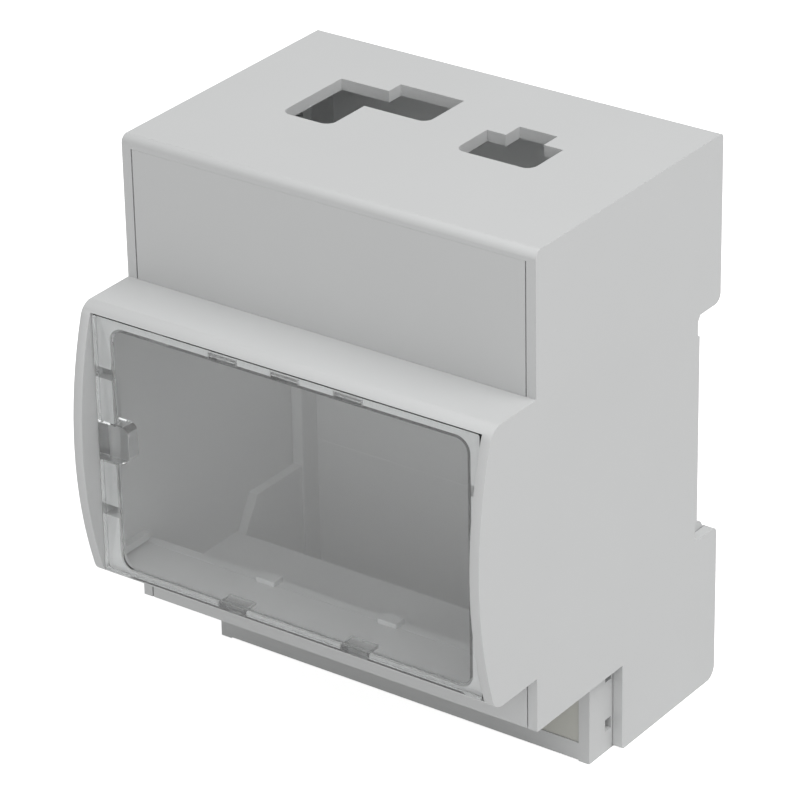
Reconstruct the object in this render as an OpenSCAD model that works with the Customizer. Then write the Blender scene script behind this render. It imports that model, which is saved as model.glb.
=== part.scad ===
// Empty modular enclosure for a 35 mm DIN rail, four modules wide.
// It stands as it hangs on the rail: nose and window to the front (-Y), rail seat at the back (+Y),
// +Z up, origin under the middle of the body, on the plane of its lowest faces.

/* [Body] */
// width over both side plates
body_w = 71.6; // [53.6:0.1:107.6]
// height over everything
body_h = 90; // [86:0.5:94]
// depth from the front of the nose to the back
body_d = 62.2; // [56:0.1:70]
// thickness of the side plates, fronts and inner walls
wall = 1.6; // [1.2:0.1:2.2]
// thickness of the top wall
top_t = 1.8; // [1.4:0.1:2.4]
// radius along the upper front edge
edge_r = 1.2; // [0.6:0.1:1.6]
// radius along the upper back edge
back_r = 0.8; // [0.4:0.1:1.6]
// radius along the lower back edge
heel_r = 2; // [1:0.1:3]
// radius at the lower front of the side plates
toe_r = 0.6; // [0.2:0.1:1.5]

/* [Nose] */
// height of the upper face of the nose
nose_top = 67.6; // [66:0.1:70]
// height of the lower face of the nose
nose_bottom = 23.2; // [21:0.1:25]
// how far the nose stands out in front of the shoulders
nose_reach = 14.2; // [10:0.1:18]
// radius of the bowed front edges of the cheeks
bow_r = 69; // [55:1:120]
// radius where the bow turns into the upper and lower face
nose_r = 2.5; // [1.5:0.1:3.5]
// thickness of the two guide ribs inside the nose
guide_rib_t = 1.2; // [0.8:0.1:2]
// height of these ribs above the nose floor
guide_rib_up = 0.6; // [0:0.1:4]

/* [Window] */
// thickness of the clear pane
pane_t = 1.8; // [1.2:0.1:2.4]
// how far the flat pane lies behind the front of the bow
pane_set = 3.3; // [2.8:0.1:5]
// thickness of the lips above and below the pane
lip_t = 1.1; // [0.8:0.1:1.4]
// gap beside the pane
pane_gap = 0.35; // [0.1:0.05:0.6]
// width of the ledge behind the pane, at the sides and the top
ledge_w = 2.6; // [1.6:0.1:4]
// corner radius of the opening behind the pane
opening_r = 2.4; // [1:0.1:4]
// thickness of the raised field that centres the pane
field_t = 0.8; // [0.4:0.1:1.2]
// gap around that field
field_gap = 0.4; // [0.2:0.05:0.8]
// width of a snap hook of the pane
hook_w = 4.6; // [3:0.1:6]
// thickness of its arm
hook_t = 0.9; // [0.6:0.1:1.2]
// how far its barb stands out
hook_barb = 0.4; // [0.2:0.05:0.6]
// how far it reaches behind the ledge
hook_reach = 1.5; // [1:0.1:2.5]
// gap on both sides of a hook in its pocket
hook_gap = 0.3; // [0.1:0.05:0.6]
// depth of the pockets in the upper ledge and the nose floor
pocket_d = 0.8; // [0.5:0.1:1.1]
// distance of the outer snap hooks from the middle
hook_x = 11; // [8:0.5:20]
// height of the lug at the left edge of the pane
lug_h = 6.1; // [4:0.1:8]
// how far the lug reaches into the opening
lug_in = 2.2; // [1:0.1:4]
// radius of the free corners of the lug
lug_r = 1.4; // [0.5:0.1:2]
// length of the slots in the side ledges
ledge_slot_h = 1.8; // [1:0.1:3]
// distance of these slots from the middle of the nose
ledge_slot_z = 11.3; // [8:0.1:16]

/* [Top cut-outs] */
// left edge of the stepped cut-out, from the middle
port_x = -21.6; // [-28:0.1:-10]
// width of its deep part
port_w = 8.8; // [6:0.1:12]
// length of its deep part, front to back
port_l = 14.9; // [10:0.1:18]
// width of its shallow part
port_step_w = 11.1; // [8:0.1:16]
// length of its shallow part
port_step_l = 9.4; // [6:0.1:12]
// how far the shallow part reaches behind the deep part
port_step_back = 3; // [0:0.1:5]
// distance of its front edge from the back of the body
port_back = 28.8; // [22:0.1:34]
// left edge of the keyed cut-out, from the middle
jack_x = 7; // [2:0.1:12]
// width of the keyed cut-out
jack_w = 13.1; // [8:0.1:18]
// length of the keyed cut-out
jack_l = 8.2; // [6:0.1:12]
// width of its key
jack_key_w = 6.5; // [4:0.1:8]
// length of its key
jack_key_l = 3.5; // [2:0.1:5]
// distance of its front edge from the back of the body
jack_back = 25.9; // [20:0.1:30]
// corner radius at the front of the cut-outs
port_r = 1.6; // [0.5:0.1:3]

/* [Covers] */
// gap between the shoulder covers and the side plates
cover_gap = 0.2; // [0.05:0.05:0.4]
// thickness of the ribs behind the covers
cover_rib_t = 1.2; // [0.8:0.1:1.6]
// depth of these ribs
cover_rib_d = 2.2; // [1.2:0.1:4]
// distance between them
cover_rib_pitch = 22; // [14:1:30]
// how far they end short of the edges of the cover
cover_rib_in = 2; // [1:0.1:5]
// width of the two tabs on the lower front cover
tab_w = 3.3; // [2:0.1:6]
// height of these tabs
tab_t = 0.8; // [0.5:0.1:1.5]
// how far they lie on the nose floor
tab_reach = 0.7; // [0.3:0.1:2]
// how far the front cover of the base lies behind its posts
base_cover_in = 0.2; // [0:0.05:0.5]

/* [Foot] */
// height of the open terminal notch under the front shoulder
notch_h = 14.4; // [10:0.1:18]
// depth of the notch, from the shoulder back
notch_d = 22.3; // [16:0.1:26]
// thickness of the floor of the base
floor_t = 3.1; // [2:0.1:4]
// distance of the front of the base from the front of the nose
base_set = 30.3; // [26:0.1:34]
// width of the corner posts of the base
post_w = 1.9; // [1.4:0.1:3]
// height of the side walls of the base, inside the housing
base_wall_h = 21.5; // [18:0.1:26]
// length of the slope at the front of these walls
base_slope = 3.2; // [1:0.1:6]
// radius along the lower front edge of the floor
sill_r = 0.4; // [0:0.1:1]
// width of the corner ribs at the back
corner_rib_w = 2; // [1.6:0.1:4]
// depth of these ribs, in front of the rail seat
corner_rib_d = 3.8; // [2:0.1:8]
// length of the snap windows at the corners of the notch
snap_l = 1.6; // [1:0.1:2.5]
// height of these windows
snap_h = 2; // [1:0.1:3]
// distance of these windows from the edges around them
snap_in = 0.4; // [0.3:0.1:1]

/* [Rail seat] */
// depth of the rail seat
seat_d = 5.6; // [4:0.1:7.5]
// height of the lower edge of the seat
seat_low = 26; // [22:0.1:30]
// height of the upper edge of the seat
seat_high = 63.3; // [60:0.1:66]
// thickness of the rail flange
rail_t = 1; // [1:0.1:1.5]
// play of the rail flange behind the fixed hooks
rail_gap = 0.4; // [0.2:0.05:0.8]
// how far the fixed hooks hang down
hook_drop = 2; // [1:0.1:3]
// width of a fixed hook
fixed_hook_w = 12; // [6:0.5:20]
// thickness of its tip
fixed_hook_tip = 0.9; // [0.6:0.1:1.4]
// how far its root stays in front of the back
fixed_hook_in = 1.2; // [0.6:0.1:2]
// radius below the upper edge of the seat
seat_high_r = 1.5; // [0.5:0.1:2]
// radius above the lower edge of the seat
seat_low_r = 1.1; // [0.5:0.1:2]
// depth of the relief in the side plates, at both ends of the seat
relief_d = 0.5; // [0.2:0.1:1]
// height of the relief
relief_h = 3.4; // [2:0.1:6]
// corner radius of the relief
relief_r = 1.2; // [0.6:0.1:2]
// width of the two feet that carry the lower rail flange
foot_w = 2.4; // [1.6:0.1:5]
// height of these feet
foot_h = 1.5; // [0.5:0.1:2]
// how far they stay in front of the back
foot_in = 1.4; // [0.5:0.1:2.5]

/* [Rail clips] */
// distance of the two clips from the middle
clip_x = 18; // [12:0.5:24]
// width of a clip
clip_w = 12; // [8:0.5:16]
// how far a clip slides down to free the rail
clip_travel = 3.5; // [2:0.1:5]
// how far a pulled clip stays above the underside
clip_clear = 0.9; // [0.3:0.1:2]
// height of the hook of a clip at rest
clip_top = 30; // [29:0.1:31]
// length of the lead-in at the back of the hook
clip_lead = 2.6; // [1.5:0.1:4]
// thickness of the tip of the hook
clip_tip = 0.9; // [0.6:0.1:1.6]
// running gap around a clip
clip_gap = 0.25; // [0.15:0.05:0.4]
// height of the tongue and the spring arms below the body of a clip
clip_leg_h = 9; // [6:0.1:10]
// width of the tongue
tongue_w = 7.2; // [6:0.1:8]
// thickness of a spring arm
arm_t = 1.2; // [0.8:0.1:1.6]
// height of the lower end of the arms above the end of the tongue
arm_up = 3; // [1:0.1:5]
// width of the pull slot
slot_w = 5; // [3:0.1:5.4]
// height of the pull slot
slot_h = 2.6; // [1.5:0.1:4]
// distance of the pull slot from the end of the tongue
slot_up = 1.6; // [1:0.1:3]
// thickness of the hooked ribs that lead a clip
guide_t = 1.2; // [0.8:0.1:2]
// height of the lower end of these ribs
guide_low = 14; // [10:0.5:18]

/* [Fit] */
// gap between the snapped parts
fit = 0.1; // [0.05:0.05:0.3]

/* [Output] */

/* [Hidden] */
$fn = 96;
grey = [0.80, 0.81, 0.80];
dark_grey = [0.70, 0.71, 0.70];
clear = [0.80, 0.85, 0.88, 0.35];
cut = 1;

// front to back
front_y = -body_d / 2;
back_y = body_d / 2;
shoulder_y = front_y + nose_reach;
notch_y = shoulder_y + notch_d;
seat_y = back_y - seat_d;
base_y = front_y + base_set;
pane_y = front_y + pane_set;
ledge_y = pane_y + pane_t + fit;

// side to side
side_x = body_w / 2;
inner_x = side_x - wall;
base_x = inner_x - fit;
cover_x = inner_x - cover_gap;

// the bow of the cheeks and the small rounds that end it
nose_mid = (nose_top + nose_bottom) / 2;
nose_half = (nose_top - nose_bottom) / 2;
bow_y = front_y + bow_r;
round_z = nose_half - nose_r;
round_y = bow_y - sqrt(pow(bow_r - nose_r, 2) - pow(round_z, 2));
bow_half = round_z * bow_r / (bow_r - nose_r);

// window
pane_x = inner_x - pane_gap;
pane_low = nose_bottom + lip_t + fit;
pane_high = nose_top - lip_t - fit;
opening_x = inner_x - ledge_w;
opening_low = nose_bottom + wall;
opening_high = nose_top - wall - ledge_w / 2;
pocket_w = hook_w + 2 * hook_gap;
hook_end = ledge_y + wall + hook_reach;
over = 0.2;

// base
lower_post_top = notch_h - fit;
shelf_low = seat_low - wall;
shelf_high = seat_high + wall;
base_top = body_h - top_t - fit;
rib_y = seat_y - wall - corner_rib_d;
groove = rail_t + rail_gap;

// clips
clip_back = back_y - wall - clip_gap;
clip_front = seat_y + groove;
clip_bottom = clip_travel + clip_clear;

// ---------- helpers ----------

// draws a y-z outline and gives it a width along X
module across(x0, width) {
    translate([x0, 0, 0])
        rotate([90, 0, 90])
            linear_extrude(width)
                children();
}

// draws an x-z outline and gives it a depth along Y
module inward(y0, depth) {
    translate([0, y0 + depth, 0])
        rotate([90, 0, 0])
            linear_extrude(depth)
                children();
}

// rectangle with its own radius at each corner: low left, low right, high right, high left
module plate_2d(a0, b0, a1, b1, radii) {
    corners = [
        [a0, b0, 1, 1],
        [a1, b0, -1, 1],
        [a1, b1, -1, -1],
        [a0, b1, 1, -1]];
    difference() {
        translate([a0, b0])
            square([a1 - a0, b1 - b0]);
        for (i = [0:3])
            if (radii[i] > 0)
                translate([corners[i][0], corners[i][1]])
                    mirror([corners[i][2] < 0 ? 1 : 0, 0])
                        mirror([0, corners[i][3] < 0 ? 1 : 0])
                            corner_waste(radii[i]);
    }
}

// what a round of radius r takes off a corner at the origin
module corner_waste(r) {
    difference() {
        translate([-cut, -cut])
            square(r + cut);
        translate([r, r])
            circle(r);
    }
}

module block(x0, y0, z0, x1, y1, z1) {
    translate([x0, y0, z0])
        cube([x1 - x0, y1 - y0, z1 - z0]);
}

// puts the same thing at -x and +x, mirrored
module both_sides() {
    children();
    mirror([1, 0, 0])
        children();
}

// ---------- outlines, in y and z ----------

// the nose from the side: one large bow that runs into two small rounds
module nose_outline() {
    intersection() {
        translate([bow_y, nose_mid])
            circle(bow_r, $fn = 360);
        translate([front_y - cut, nose_mid - bow_half])
            square([nose_reach + wall + cut, 2 * bow_half]);
    }
    for (s = [-1, 1])
        translate([round_y, nose_mid + s * round_z])
            circle(nose_r);
    translate([round_y, nose_bottom])
        square([shoulder_y + wall - round_y, nose_top - nose_bottom]);
}

// the whole side plate: nose, shoulders, terminal notch and rail seat
module side_outline() {
    difference() {
        union() {
            nose_outline();
            plate_2d(shoulder_y, seat_high, back_y, body_h, [0, seat_high_r, back_r, edge_r]);
            translate([shoulder_y, notch_h])
                square([seat_y - shoulder_y, seat_high + cut - notch_h]);
            plate_2d(notch_y, 0, back_y, seat_low, [toe_r, heel_r, seat_low_r, 0]);
        }
        // relief at both ends of the seat
        relief_y = seat_y - relief_d;
        plate_2d(relief_y, seat_low, back_y + cut, seat_low + relief_h, [relief_r, 0, 0, relief_d]);
        plate_2d(relief_y, seat_high - relief_h, back_y + cut, seat_high, [relief_d, 0, 0, relief_r]);
    }
}

// lips, nose walls and the ledge behind the pane, before the opening is cut
module nose_wall_outline() {
    difference() {
        nose_outline();
        // in front of the pane
        translate([front_y - cut, nose_bottom - cut])
            square([pane_set + cut, nose_top - nose_bottom + 2 * cut]);
        // the bed of the pane
        translate([front_y - cut, nose_bottom + lip_t])
            square([ledge_y - front_y + cut, nose_top - nose_bottom - 2 * lip_t]);
        // the room behind the ledge
        translate([ledge_y + wall, nose_bottom + wall])
            square([nose_reach + wall, nose_top - nose_bottom - 2 * wall]);
    }
}

// ---------- housing shell ----------

// opening behind the pane, with the pockets of the snap hooks
module window_opening() {
    inward(ledge_y - cut, wall + 2 * cut)
        plate_2d(-opening_x, opening_low, opening_x, opening_high,
            [opening_r, opening_r, opening_r, opening_r]);
    // pockets above, below and at the sides
    for (x = [-hook_x, 0, hook_x])
        block(x - pocket_w / 2, ledge_y - cut, opening_high - cut,
            x + pocket_w / 2, ledge_y + wall + cut, opening_high + pocket_d);
    for (x = [-hook_x, hook_x])
        block(x - pocket_w / 2, ledge_y - cut, opening_low - pocket_d,
            x + pocket_w / 2, hook_end + fit, opening_low + cut);
    block(-inner_x, ledge_y - cut, nose_mid - lug_h / 2 - hook_gap,
        cut - opening_x, ledge_y + wall + cut, nose_mid + lug_h / 2 + hook_gap);
    both_sides()
        for (s = [-1, 1])
            block(opening_x - cut, ledge_y - cut, nose_mid + s * ledge_slot_z - ledge_slot_h / 2,
                inner_x, ledge_y + wall + cut, nose_mid + s * ledge_slot_z + ledge_slot_h / 2);
}

// cut-out with a deep and a shallow part
module stepped_port() {
    y0 = back_y - port_back;
    step_y = y0 + port_l + port_step_back - port_step_l;
    translate([0, 0, body_h - top_t - cut])
        linear_extrude(top_t + 2 * cut) {
            plate_2d(port_x, y0, port_x + port_w, y0 + port_l, [port_r, port_r, 0, 0]);
            plate_2d(port_x + port_w - over, step_y, port_x + port_w + port_step_w, step_y + port_step_l,
                [0, port_r, 0, 0]);
        }
}

// cut-out with a key at its back
module keyed_port() {
    y0 = back_y - jack_back;
    key_x = jack_x + (jack_w - jack_key_w) / 2;
    translate([0, 0, body_h - top_t - cut])
        linear_extrude(top_t + 2 * cut) {
            plate_2d(jack_x, y0, jack_x + jack_w, y0 + jack_l, [port_r, port_r, 0, 0]);
            translate([key_x, y0 + jack_l - cut])
                square([jack_key_w, jack_key_l + cut]);
        }
}

module housing_shell() {
    color(grey)
        difference() {
            union() {
                both_sides()
                    across(inner_x, wall)
                        side_outline();
                // top wall
                across(-inner_x, 2 * inner_x)
                    plate_2d(shoulder_y, body_h - top_t, back_y, body_h, [0, 0, back_r, edge_r]);
                // nose
                across(-inner_x, 2 * inner_x)
                    nose_wall_outline();
                // roof of the terminal notch
                block(-inner_x, shoulder_y + wall + fit, notch_h, inner_x, notch_y, notch_h + wall);
                // short guide ribs in the lower corners of the nose
                both_sides()
                    block(inner_x - guide_rib_t, ledge_y + wall, opening_low + guide_rib_up,
                        inner_x, shoulder_y, opening_low + guide_rib_up + guide_rib_t);
            }
            window_opening();
            stepped_port();
            keyed_port();
            // the nose floor ends at the lower front cover
            block(-inner_x, shoulder_y - fit, nose_bottom - cut,
                inner_x, shoulder_y + 2 * wall, opening_low + cut);
        }
}

// ---------- base ----------

// floor, lower back, rail seat and upper back in one folded wall
module base_outline() {
    plate_2d(base_y, 0, back_y, floor_t, [sill_r, heel_r, 0, 0]);
    plate_2d(back_y - wall, floor_t - cut, back_y, seat_low, [0, 0, seat_low_r, 0]);
    translate([seat_y - wall, shelf_low])
        square([seat_d, wall]);
    translate([seat_y - wall, shelf_low])
        square([wall, shelf_high - shelf_low]);
    plate_2d(seat_y - wall, seat_high, back_y, shelf_high, [0, seat_high_r, 0, 0]);
    plate_2d(back_y - wall, seat_high, back_y, base_top, [0, seat_high_r, 0, 0]);
}

// side wall of the base: low under the notch roof, higher inside the housing
module base_side_outline() {
    translate([base_y, 0])
        square([back_y - heel_r - base_y, lower_post_top]);
    polygon([
        [notch_y + fit, floor_t],
        [rib_y, floor_t],
        [rib_y, base_wall_h],
        [notch_y + fit + base_slope, base_wall_h],
        [notch_y + fit, notch_h + wall]]);
}

// hook that holds the upper rail flange, with a sloping lead-in at its back
module fixed_hook_outline() {
    polygon([
        [seat_y + groove, seat_high + cut],
        [seat_y + groove, seat_high - hook_drop],
        [seat_y + groove + fixed_hook_tip, seat_high - hook_drop],
        [back_y - fixed_hook_in, seat_high],
        [back_y - fixed_hook_in, seat_high + cut]]);
}

// low nose beside each side plate that carries the lower rail flange
module rail_foot_outline() {
    plate_2d(seat_y - wall, seat_low - cut, back_y - foot_in, seat_low + foot_h, [0, 0, foot_h, 0]);
}

// a pair of hooked ribs that lead one clip
module clip_guide(x) {
    for (s = [-1, 1])
        translate([x, 0, 0])
            mirror([s < 0 ? 1 : 0, 0, 0]) {
                block(clip_w / 2 + clip_gap, clip_front - clip_gap - guide_t, guide_low,
                    clip_w / 2 + clip_gap + guide_t, back_y - wall, shelf_low);
                block(clip_w / 2 + clip_gap - guide_t, clip_front - clip_gap - guide_t, guide_low,
                    clip_w / 2 + clip_gap + guide_t, clip_front - clip_gap, shelf_low);
            }
}

module housing_base() {
    color(grey)
        difference() {
            union() {
                across(-base_x, 2 * base_x)
                    base_outline();
                both_sides()
                    across(base_x - wall, wall)
                        base_side_outline();
                // corner posts beside the front cover of the base
                both_sides()
                    block(base_x - post_w, base_y, 0, base_x, base_y + 2 * wall, lower_post_top);
                // corner ribs at the back
                both_sides()
                    block(base_x - corner_rib_w, rib_y, floor_t - over,
                        base_x, seat_y - wall + over, seat_high);
                // side walls of the rail channel, below and above
                both_sides()
                    block(base_x - wall, rib_y, floor_t - over,
                        base_x, back_y - wall + over, shelf_low + over);
                both_sides()
                    block(base_x - wall, seat_y - wall, shelf_high - over,
                        base_x, back_y - wall + over, base_top);
                for (x = [-clip_x, clip_x])
                    clip_guide(x);
                for (x = [-clip_x, clip_x])
                    across(x - fixed_hook_w / 2, fixed_hook_w)
                        fixed_hook_outline();
                both_sides()
                    across(base_x - foot_w, foot_w)
                        rail_foot_outline();
            }
            // the clips pass through the shelf, and are reached through the floor
            for (x = [-clip_x, clip_x]) {
                block(x - clip_w / 2 - clip_gap, clip_front - clip_gap, shelf_low - cut,
                    x + clip_w / 2 + clip_gap, back_y - wall, seat_low + cut);
                block(x - clip_w / 2 - clip_gap, clip_front - wall, -cut,
                    x + clip_w / 2 + clip_gap, back_y - wall, floor_t + cut);
            }
            // snap windows in the side walls, at the corners of the notch
            both_sides() {
                for (z = [floor_t + snap_in, lower_post_top - snap_in - snap_h])
                    block(base_x - wall - cut, notch_y - snap_in - snap_l, z,
                        base_x + cut, notch_y - snap_in, z + snap_h);
            }
        }
}

// ---------- snapped-in covers ----------

// three stiffening ribs behind a cover
module cover_ribs(y0, low, high) {
    for (x = [-cover_rib_pitch, 0, cover_rib_pitch])
        block(x - cover_rib_t / 2, y0 - over, low + cover_rib_in,
            x + cover_rib_t / 2, y0 + cover_rib_d, high - cover_rib_in);
}

module upper_front_cover() {
    low = nose_top;
    high = body_h - top_t;
    color(grey) {
        block(-cover_x, shoulder_y, low, cover_x, shoulder_y + wall, high);
        cover_ribs(shoulder_y + wall, low, high);
    }
}

module lower_front_cover() {
    color(grey) {
        block(-cover_x, shoulder_y, notch_h, cover_x, shoulder_y + wall, opening_low);
        for (x = [-hook_x, hook_x])
            block(x - tab_w / 2, shoulder_y - tab_reach, opening_low,
                x + tab_w / 2, shoulder_y + wall, opening_low + tab_t);
    }
}

module base_front_cover() {
    half_w = base_x - post_w - fit;
    y0 = base_y + base_cover_in;
    color(dark_grey) {
        block(-half_w, y0, floor_t, half_w, y0 + wall, lower_post_top);
        cover_ribs(y0 + wall, floor_t, lower_post_top);
    }
}

// ---------- window ----------

// snap hook behind the pane: an arm whose barb grips behind the ledge
module pane_hook(width) {
    across(-width / 2, width)
        polygon([
            [pane_y + pane_t - over, -hook_t],
            [hook_end, -hook_t],
            [hook_end, -hook_t / 2],
            [ledge_y + wall + fit, hook_barb],
            [ledge_y + wall + fit, 0],
            [pane_y + pane_t - over, 0]]);
}

module window() {
    field_x = opening_x - field_gap;
    field_low = opening_low + field_gap;
    field_high = opening_high - field_gap;
    field_r = opening_r - field_gap;
    color(clear) {
        inward(pane_y, pane_t)
            plate_2d(-pane_x, pane_low, pane_x, pane_high, [pane_gap, pane_gap, pane_gap, pane_gap]);
        inward(pane_y + pane_t - over, field_t + over)
            plate_2d(-field_x, field_low, field_x, field_high, [field_r, field_r, field_r, field_r]);
        // above
        for (x = [-hook_x, 0, hook_x])
            translate([x, 0, opening_high + pocket_d - fit])
                pane_hook(hook_w);
        // lug at the left
        inward(pane_y + pane_t - over, hook_end - pane_y - pane_t + over)
            plate_2d(hook_gap - inner_x, nose_mid - lug_h / 2, lug_in - opening_x, nose_mid + lug_h / 2,
                [0, lug_r, lug_r, 0]);
        // plain tongues below
        for (x = [-hook_x, hook_x])
            block(x - hook_w / 2, pane_y + pane_t - over, opening_low - pocket_d + fit,
                x + hook_w / 2, hook_end, opening_low - pocket_d + fit + hook_t);
    }
}

// ---------- rail clips ----------

// one sprung slider: a hook with a lead-in, a tongue with a pull slot, and two spring arms
module rail_clip() {
    body_low = clip_bottom + clip_leg_h;
    color(dark_grey)
        difference() {
            union() {
                across(-clip_w / 2, clip_w)
                    polygon([
                        [clip_front, body_low],
                        [clip_back, body_low],
                        [clip_back, clip_top - clip_lead],
                        [clip_front + clip_tip, clip_top],
                        [clip_front, clip_top]]);
                block(-tongue_w / 2, clip_front, clip_bottom, tongue_w / 2, clip_back, body_low + over);
                both_sides()
                    block(clip_w / 2 - arm_t, clip_front, clip_bottom + arm_up,
                        clip_w / 2, clip_back, body_low + over);
            }
            block(-slot_w / 2, clip_front - cut, clip_bottom + slot_up,
                slot_w / 2, clip_back + cut, clip_bottom + slot_up + slot_h);
        }
}

module rail_clip_left() {
    translate([-clip_x, 0, 0])
        rail_clip();
}

module rail_clip_right() {
    translate([clip_x, 0, 0])
        rail_clip();
}

housing_shell();
housing_base();
upper_front_cover();
lower_front_cover();
base_front_cover();
window();
rail_clip_left();
rail_clip_right();
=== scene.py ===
import bpy
import math
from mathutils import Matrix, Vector


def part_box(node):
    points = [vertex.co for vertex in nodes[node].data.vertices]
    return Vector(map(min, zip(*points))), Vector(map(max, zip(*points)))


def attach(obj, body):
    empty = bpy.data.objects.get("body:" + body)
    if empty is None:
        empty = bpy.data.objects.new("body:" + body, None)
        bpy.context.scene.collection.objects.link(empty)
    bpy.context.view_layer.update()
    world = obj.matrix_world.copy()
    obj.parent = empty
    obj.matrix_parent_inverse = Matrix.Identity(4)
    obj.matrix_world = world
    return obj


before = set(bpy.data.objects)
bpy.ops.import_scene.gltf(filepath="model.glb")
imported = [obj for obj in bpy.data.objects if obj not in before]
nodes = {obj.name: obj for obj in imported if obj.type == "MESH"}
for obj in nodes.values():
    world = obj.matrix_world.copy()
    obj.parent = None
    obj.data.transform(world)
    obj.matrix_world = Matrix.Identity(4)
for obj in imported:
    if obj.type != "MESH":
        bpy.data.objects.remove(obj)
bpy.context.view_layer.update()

MM = 0.001

CASE = ["housing_shell", "housing_base"]
COVERS = ["upper_front_cover", "lower_front_cover"]
CLIPS = ["rail_clip_left", "rail_clip_right"]
# small rounds on the moulded edges; the covers stay sharper, so their seams stay thin
CASE_ROUND_MM = 0.22
COVER_ROUND_MM = 0.07
SMALL_ROUND_MM = 0.12


# ---------- materials ----------

def linear(hex_colour):
    """An sRGB hex colour as linear RGBA."""
    channels = [int(hex_colour[i:i + 2], 16) / 255 for i in (1, 3, 5)]
    return [c / 12.92 if c <= 0.04045 else ((c + 0.055) / 1.055) ** 2.4 for c in channels] + [1.0]


def add(tree, kind, at=(0, 0), links=None, **settings):
    """Adds one node. Settings name either a property or, with spaces as underscores, an input;
    links maps an input to the output socket that feeds it."""
    made = tree.nodes.new(kind)
    made.location = at
    for name, value in settings.items():
        if hasattr(made, name):
            setattr(made, name, value)
        else:
            made.inputs[name.replace("_", " ")].default_value = value
    for name, source in (links or {}).items():
        tree.links.new(source, made.inputs[name])
    return made


def new_material(name):
    made = bpy.data.materials.new(name)
    made.use_nodes = True
    made.node_tree.nodes.clear()
    return made, made.node_tree


def moulded_plastic(name, colour, shade, roughness, grain_mm):
    """Injection-moulded plastic out of a finely eroded mould: a broad soft sheen, a very fine matt
    grain, and a barely visible drift of tone where the melt has flowed. The grain is drawn coarser
    than the real one, which is too fine to show."""
    flow_mm, grain_depth_mm, grain_strength, roughness_drift = 24, 0.02, 0.008, 0.01
    made, tree = new_material(name)
    place = add(tree, "ShaderNodeTexCoord", (-1100, 0))
    flow = add(tree, "ShaderNodeTexNoise", (-850, 200), {"Vector": place.outputs["Object"]},
               Scale=1 / (flow_mm * MM), Detail=2.0)
    grain = add(tree, "ShaderNodeTexNoise", (-850, -200), {"Vector": place.outputs["Object"]},
                Scale=1 / (grain_mm * MM), Detail=3.0, Roughness=0.6)
    tone = add(tree, "ShaderNodeMix", (-550, 200), {"Factor": flow.outputs["Fac"]},
               data_type="RGBA")
    tone.inputs["A"].default_value = linear(colour)
    tone.inputs["B"].default_value = linear(shade)
    matt = add(tree, "ShaderNodeMapRange", (-550, -50), {"Value": grain.outputs["Fac"]},
               To_Min=roughness - roughness_drift, To_Max=roughness + roughness_drift)
    bump = add(tree, "ShaderNodeBump", (-550, -300), {"Height": grain.outputs["Fac"]},
               Strength=grain_strength, Distance=grain_depth_mm * MM)
    skin = add(tree, "ShaderNodeBsdfPrincipled", (-250, 0),
               {"Base Color": tone.outputs["Result"], "Roughness": matt.outputs["Result"],
                "Normal": bump.outputs["Normal"]}, IOR=1.53)
    add(tree, "ShaderNodeOutputMaterial", (100, 0), {"Surface": skin.outputs["BSDF"]})
    return made


def clear_polycarbonate():
    """Polished clear polycarbonate: sharp reflections and hardly any tint. Light falls through it to
    the inside and loses part at both faces, so its shadow is a pale grey."""
    made, tree = new_material("clear_polycarbonate")
    glass = add(tree, "ShaderNodeBsdfPrincipled", (-300, 100), Base_Color=linear("#f2f3f3"),
                Roughness=0.03, IOR=1.585, Transmission_Weight=1.0)
    open_air = add(tree, "ShaderNodeBsdfTransparent", (-300, -500), Color=linear("#d2d2d2"))
    ray = add(tree, "ShaderNodeLightPath", (-300, 450))
    mix = add(tree, "ShaderNodeMixShader", (0, 0), {"Fac": ray.outputs["Is Shadow Ray"]})
    tree.links.new(glass.outputs["BSDF"], mix.inputs[1])
    tree.links.new(open_air.outputs["BSDF"], mix.inputs[2])
    add(tree, "ShaderNodeOutputMaterial", (250, 0), {"Surface": mix.outputs["Shader"]})
    return made


def studio_floor():
    """White paper sweep: plain to the eye and through the pane, dimmer in gloss, with the soft
    shadow of what stands on it."""
    seen_glow, mirrored_glow = 0.80, 0.25
    made, tree = new_material("studio_paper")
    paper = add(tree, "ShaderNodeBsdfDiffuse", (-300, 100), Color=linear("#e0e0e0"))
    glow = add(tree, "ShaderNodeEmission", (-300, -150), Color=linear("#ffffff"))
    ray = add(tree, "ShaderNodeLightPath", (-900, -100))
    seen = add(tree, "ShaderNodeMath", (-650, -50), {0: ray.outputs["Is Camera Ray"]},
               operation="MULTIPLY")
    seen.inputs[1].default_value = seen_glow
    through = add(tree, "ShaderNodeMath", (-650, -250), {0: ray.outputs["Is Transmission Ray"],
                                                         2: seen.outputs[0]},
                  operation="MULTIPLY_ADD")
    through.inputs[1].default_value = seen_glow
    level = add(tree, "ShaderNodeMath", (-450, -200), {0: ray.outputs["Is Glossy Ray"],
                                                       2: through.outputs[0]},
                operation="MULTIPLY_ADD")
    level.inputs[1].default_value = mirrored_glow
    tree.links.new(level.outputs[0], glow.inputs["Strength"])
    both = add(tree, "ShaderNodeAddShader", (0, 0))
    tree.links.new(paper.outputs["BSDF"], both.inputs[0])
    tree.links.new(glow.outputs["Emission"], both.inputs[1])
    add(tree, "ShaderNodeOutputMaterial", (250, 0), {"Surface": both.outputs["Shader"]})
    return made


abs_grey = moulded_plastic("moulded_abs_light_grey", "#cecfcf", "#cacbcb", 0.46, 0.35)
abs_warm = moulded_plastic("moulded_abs_warm_grey", "#c2c2bb", "#bdbdb6", 0.42, 0.35)
acetal_grey = moulded_plastic("moulded_acetal_grey", "#b4b7b6", "#aeb1b0", 0.34, 0.5)
polycarbonate = clear_polycarbonate()


# ---------- finish of the moulded parts ----------

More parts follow.
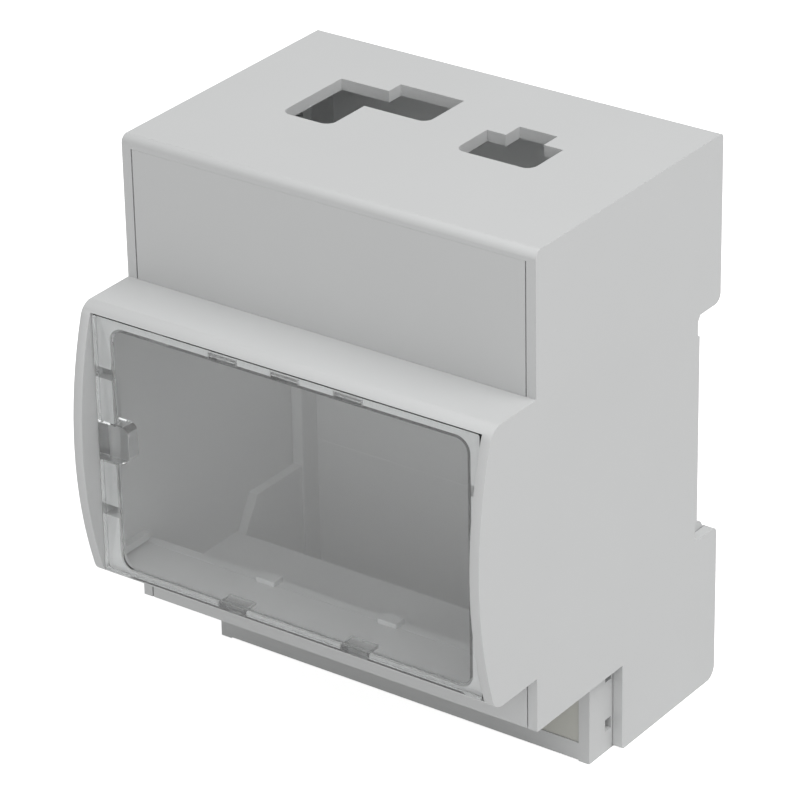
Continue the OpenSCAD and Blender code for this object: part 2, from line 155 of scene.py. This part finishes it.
def finish_part(name, material, edge_mm):
    """Gives a moulded part its material and the small rounds that every mould leaves."""
    weld_mm, flat_degrees, edge_degrees = 0.002, 0.6, 30
    part = nodes[name]
    part.data.materials.clear()
    part.data.materials.append(material)
    weld = part.modifiers.new("weld", "WELD")
    weld.merge_threshold = weld_mm * MM
    flat = part.modifiers.new("clean_faces", "DECIMATE")
    flat.decimate_type = "DISSOLVE"
    flat.angle_limit = math.radians(flat_degrees)
    edge = part.modifiers.new("mould_rounds", "BEVEL")
    edge.width = edge_mm * MM
    edge.segments = 3
    edge.limit_method = "ANGLE"
    edge.angle_limit = math.radians(edge_degrees)
    edge.use_clamp_overlap = True
    edge.harden_normals = True


for name in CASE:
    finish_part(name, abs_grey, CASE_ROUND_MM)
for name in COVERS:
    finish_part(name, abs_grey, COVER_ROUND_MM)
finish_part("base_front_cover", abs_warm, SMALL_ROUND_MM)
finish_part("window", polycarbonate, SMALL_ROUND_MM)
for name in CLIPS:
    finish_part(name, acetal_grey, SMALL_ROUND_MM)


# ---------- inner back wall ----------

def build_inner_back_wall():
    """The wall of the base behind the rail seat goes on down to the floor. It stands between the
    inside and the two rail clips, which slide behind it."""
    seat_depth, wall, side_inset, skin = 5.6, 1.6, 1.5, 0.04
    floor_top, shelf_top, guide_clearance = 3.0, 24.75, 0.1
    base_lo, base_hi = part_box("housing_base")
    seat_y = base_hi.y - seat_depth * MM
    x0, x1 = base_lo.x + side_inset * MM, base_hi.x - side_inset * MM
    y0, y1 = seat_y - (wall + skin) * MM, seat_y - guide_clearance * MM
    z0, z1 = base_lo.z + floor_top * MM, base_lo.z + shelf_top * MM
    corners = [(x, y, z) for x in (x0, x1) for y in (y0, y1) for z in (z0, z1)]
    faces = [(0, 1, 3, 2), (4, 6, 7, 5), (0, 4, 5, 1), (2, 3, 7, 6), (0, 2, 6, 4), (1, 5, 7, 3)]
    mesh = bpy.data.meshes.new("inner_back_wall")
    mesh.from_pydata(corners, [], faces)
    mesh.materials.append(abs_grey)
    made = bpy.data.objects.new("inner_back_wall", mesh)
    bpy.context.scene.collection.objects.link(made)
    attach(made, "housing")


build_inner_back_wall()


# ---------- studio ----------

def area_light(name, direction, level, size, distance=1.2):
    """A soft square lamp. A white face turned to it, at the height of its aim, shows the level."""
    aim = Vector((0, 0, 45 * MM))
    lamp = bpy.data.lights.new(name, "AREA")
    lamp.shape = "SQUARE"
    lamp.size = size
    lamp.energy = level * math.pi * distance ** 2 * math.pi
    made = bpy.data.objects.new(name, lamp)
    bpy.context.scene.collection.objects.link(made)
    towards = Vector(direction).normalized()
    made.location = aim + towards * distance
    made.rotation_mode = "QUATERNION"
    made.rotation_quaternion = towards.to_track_quat("Z", "Y")
    return made


def build_studio():
    """Paper floor, even air, a key lamp from the upper right and a low fill from the front."""
    air_level = 0.42
    just_under = -0.05 * MM
    bpy.ops.mesh.primitive_plane_add(size=6, location=(0, 0, just_under))
    floor = bpy.context.object
    floor.name = "studio_floor"
    floor.data.materials.append(studio_floor())
    world = bpy.data.worlds.new("studio_air")
    bpy.context.scene.world = world
    world.use_nodes = True
    tree = world.node_tree
    tree.nodes.clear()
    ray = add(tree, "ShaderNodeLightPath", (-900, 0))
    seen = add(tree, "ShaderNodeMath", (-650, 0), {0: ray.outputs["Is Camera Ray"],
                                                  1: ray.outputs["Is Transmission Ray"]},
               operation="MAXIMUM")
    level = add(tree, "ShaderNodeMapRange", (-450, 0), {"Value": seen.outputs[0]},
                To_Min=air_level, To_Max=1.0)
    air = add(tree, "ShaderNodeBackground", (-200, 0), {"Strength": level.outputs["Result"]},
              Color=linear("#ffffff"))
    add(tree, "ShaderNodeOutputWorld", (0, 0), {"Surface": air.outputs["Background"]})
    area_light("key_lamp", (0.33, -0.04, 0.68), 0.74, 0.9)
    area_light("low_front_fill", (0.15, -1.0, 0.36), 0.12, 0.7)


def build_camera():
    """Long lens from the front right and above."""
    lens = bpy.data.cameras.new("camera")
    lens.sensor_width = 36
    lens.lens = 194.74
    lens.clip_start = 0.05
    camera = bpy.data.objects.new("camera", lens)
    bpy.context.scene.collection.objects.link(camera)
    camera.location = (0.33117, -0.45450, 0.33809)
    camera.rotation_euler = [math.radians(a) for a in (62.890, 1.004, 35.531)]
    bpy.context.scene.camera = camera


build_studio()
build_camera()
bpy.context.scene.view_settings.view_transform = "Standard"
